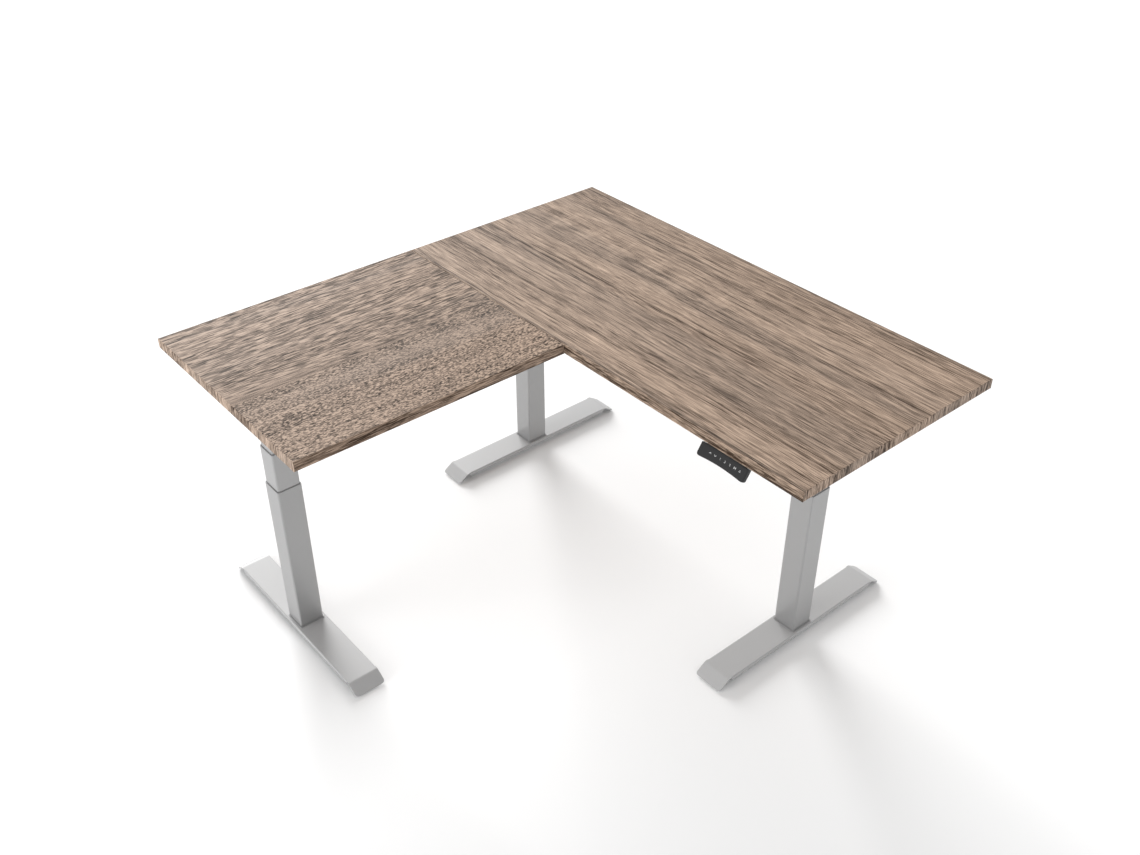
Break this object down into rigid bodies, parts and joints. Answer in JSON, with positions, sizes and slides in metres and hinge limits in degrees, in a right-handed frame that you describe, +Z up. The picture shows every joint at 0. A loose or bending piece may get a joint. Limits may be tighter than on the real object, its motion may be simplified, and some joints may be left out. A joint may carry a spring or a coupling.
{
  "type": "height adjustable standing desk",
  "caption": "L-shaped electric sit-stand desk: a wood-grain main top and a return top on telescopic square columns with T feet, touch handset at the front edge.",
  "frame": {"origin": "on the floor, under the middle of the desk's overall length and depth", "axes": "+X along the main top to the user's right, +Y to the main top's back edge, +Z up"},
  "size_m": [1.5, 1.485, 0.812],
  "materials": {
    "top_wood": "matt wood-grain laminate",
    "frame_paint": "fine silver-grey powder coat",
    "stage_paint": "satin silver-grey coat on the sliding stages",
    "collar_plastic": "moulded grey",
    "screw_steel": "greased bright steel",
    "zinc_bolt": "zinc plated",
    "gear_housing": "die cast",
    "motor_can": "black, satin",
    "leveller_plastic": "moulded black",
    "control_shell": "spark-eroded texture, black",
    "socket_plastic": "moulded black",
    "handset_shell": "fine texture, black",
    "handset_glass": "flat satin panel, dark grey"
  },
  "bodies": {
    "corner_base": {"corner_foot": "frame_paint", "corner_outer_tube": "frame_paint", "corner_outer_collar": "collar_plastic", "corner_base_screw": "screw_steel", "corner_foot_bolts": "zinc_bolt"},
    "desk": {"main_top": "top_wood", "return_top": "top_wood", "main_rail_front": "frame_paint", "main_rail_back": "frame_paint", "return_rail_left": "frame_paint", "return_rail_right": "frame_paint", "corner_arm": "frame_paint", "right_arm": "frame_paint", "return_arm": "frame_paint", "return_bracket": "frame_paint", "seam_plates": "frame_paint", "wood_screws": "zinc_bolt", "frame_bolts": "zinc_bolt", "control_case": "control_shell", "control_cover": "control_shell", "control_sockets": "socket_plastic", "handset_body": "handset_shell", "handset_panel": "handset_glass", "corner_inner_tube": "stage_paint", "corner_drive_housing": "gear_housing", "corner_drive_motor": "motor_can", "right_inner_tube": "stage_paint", "right_drive_housing": "gear_housing", "right_drive_motor": "motor_can", "return_inner_tube": "stage_paint", "return_drive_housing": "gear_housing", "return_drive_motor": "motor_can"},
    "corner_middle": {"corner_middle_tube": "stage_paint", "corner_middle_collar": "collar_plastic"},
    "corner_screw": {"corner_screw_tube": "screw_steel"},
    "corner_drive": {"corner_drive_tube": "screw_steel"},
    "corner_leveller_front": {"corner_leveller_front": "leveller_plastic"},
    "corner_leveller_back": {"corner_leveller_back": "leveller_plastic"},
    "right_base": {"right_foot": "frame_paint", "right_outer_tube": "frame_paint", "right_outer_collar": "collar_plastic", "right_base_screw": "screw_steel", "right_foot_bolts": "zinc_bolt"},
    "right_middle": {"right_middle_tube": "stage_paint", "right_middle_collar": "collar_plastic"},
    "right_screw": {"right_screw_tube": "screw_steel"},
    "right_drive": {"right_drive_tube": "screw_steel"},
    "right_leveller_front": {"right_leveller_front": "leveller_plastic"},
    "right_leveller_back": {"right_leveller_back": "leveller_plastic"},
    "return_base": {"return_foot": "frame_paint", "return_outer_tube": "frame_paint", "return_outer_collar": "collar_plastic", "return_base_screw": "screw_steel", "return_foot_bolts": "zinc_bolt"},
    "return_middle": {"return_middle_tube": "stage_paint", "return_middle_collar": "collar_plastic"},
    "return_screw": {"return_screw_tube": "screw_steel"},
    "return_drive": {"return_drive_tube": "screw_steel"},
    "return_leveller_left": {"return_leveller_left": "leveller_plastic"},
    "return_leveller_right": {"return_leveller_right": "leveller_plastic"}
  },
  "joints": [
    {"name": "desk_lift", "type": "slide", "parent": "corner_base", "child": "desk", "axis": [0, 0, 1], "range_m": [-0.2, 0.45]},
    {"name": "corner_middle_lift", "type": "slide", "parent": "corner_base", "child": "corner_middle", "axis": [0, 0, 1], "range_m": [-0.1, 0.225]},
    {"name": "corner_screw_turn", "type": "hinge", "parent": "corner_middle", "child": "corner_screw", "pos_m": [-0.668, 0.4075, 0.14], "axis": [0, 0, 1], "range_deg": [-3600, 8100]},
    {"name": "corner_drive_turn", "type": "hinge", "parent": "desk", "child": "corner_drive", "pos_m": [-0.668, 0.4075, 0.7555], "axis": [0, 0, 1], "range_deg": [-3600, 8100]},
    {"name": "corner_leveller_front_screw", "type": "slide", "parent": "corner_base", "child": "corner_leveller_front", "axis": [0, 0, -1], "range_m": [0, 0.008]},
    {"name": "corner_leveller_back_screw", "type": "slide", "parent": "corner_base", "child": "corner_leveller_back", "axis": [0, 0, -1], "range_m": [0, 0.008]},
    {"name": "right_base_lift", "type": "slide", "parent": "desk", "child": "right_base", "axis": [0, 0, -1], "range_m": [-0.2, 0.45]},
    {"name": "right_middle_lift", "type": "slide", "parent": "desk", "child": "right_middle", "axis": [0, 0, -1], "range_m": [-0.1, 0.225]},
    {"name": "right_screw_turn", "type": "hinge", "parent": "right_middle", "child": "right_screw", "pos_m": [0.505, 0.4075, 0.14], "axis": [0, 0, 1], "range_deg": [-3600, 8100]},
    {"name": "right_drive_turn", "type": "hinge", "parent": "desk", "child": "right_drive", "pos_m": [0.505, 0.4075, 0.7555], "axis": [0, 0, 1], "range_deg": [-3600, 8100]},
    {"name": "right_leveller_front_screw", "type": "slide", "parent": "right_base", "child": "right_leveller_front", "axis": [0, 0, -1], "range_m": [0, 0.008]},
    {"name": "right_leveller_back_screw", "type": "slide", "parent": "right_base", "child": "right_leveller_back", "axis": [0, 0, -1], "range_m": [0, 0.008]},
    {"name": "return_base_lift", "type": "slide", "parent": "desk", "child": "return_base", "axis": [0, 0, -1], "range_m": [-0.2, 0.45]},
    {"name": "return_middle_lift", "type": "slide", "parent": "desk", "child": "return_middle", "axis": [0, 0, -1], "range_m": [-0.1, 0.225]},
    {"name": "return_screw_turn", "type": "hinge", "parent": "return_middle", "child": "return_screw", "pos_m": [-0.386, -0.6275, 0.14], "axis": [0, 0, 1], "range_deg": [-3600, 8100]},
    {"name": "return_drive_turn", "type": "hinge", "parent": "desk", "child": "return_drive", "pos_m": [-0.386, -0.6275, 0.7555], "axis": [0, 0, 1], "range_deg": [-3600, 8100]},
    {"name": "return_leveller_left_screw", "type": "slide", "parent": "return_base", "child": "return_leveller_left", "axis": [0, 0, -1], "range_m": [0, 0.008]},
    {"name": "return_leveller_right_screw", "type": "slide", "parent": "return_base", "child": "return_leveller_right", "axis": [0, 0, -1], "range_m": [0, 0.008]}
  ],
  "couplings": [
    {"joint": "corner_middle_lift", "follows": "desk_lift", "ratio": 0.5},
    {"joint": "corner_screw_turn", "follows": "desk_lift", "rad_per_m": 314.16},
    {"joint": "corner_drive_turn", "follows": "desk_lift", "rad_per_m": 314.16},
    {"joint": "right_base_lift", "follows": "desk_lift", "ratio": 1},
    {"joint": "right_middle_lift", "follows": "desk_lift", "ratio": 0.5},
    {"joint": "right_screw_turn", "follows": "desk_lift", "rad_per_m": 314.16},
    {"joint": "right_drive_turn", "follows": "desk_lift", "rad_per_m": 314.16},
    {"joint": "return_base_lift", "follows": "desk_lift", "ratio": 1},
    {"joint": "return_middle_lift", "follows": "desk_lift", "ratio": 0.5},
    {"joint": "return_screw_turn", "follows": "desk_lift", "rad_per_m": 314.16},
    {"joint": "return_drive_turn", "follows": "desk_lift", "rad_per_m": 314.16}
  ]
}
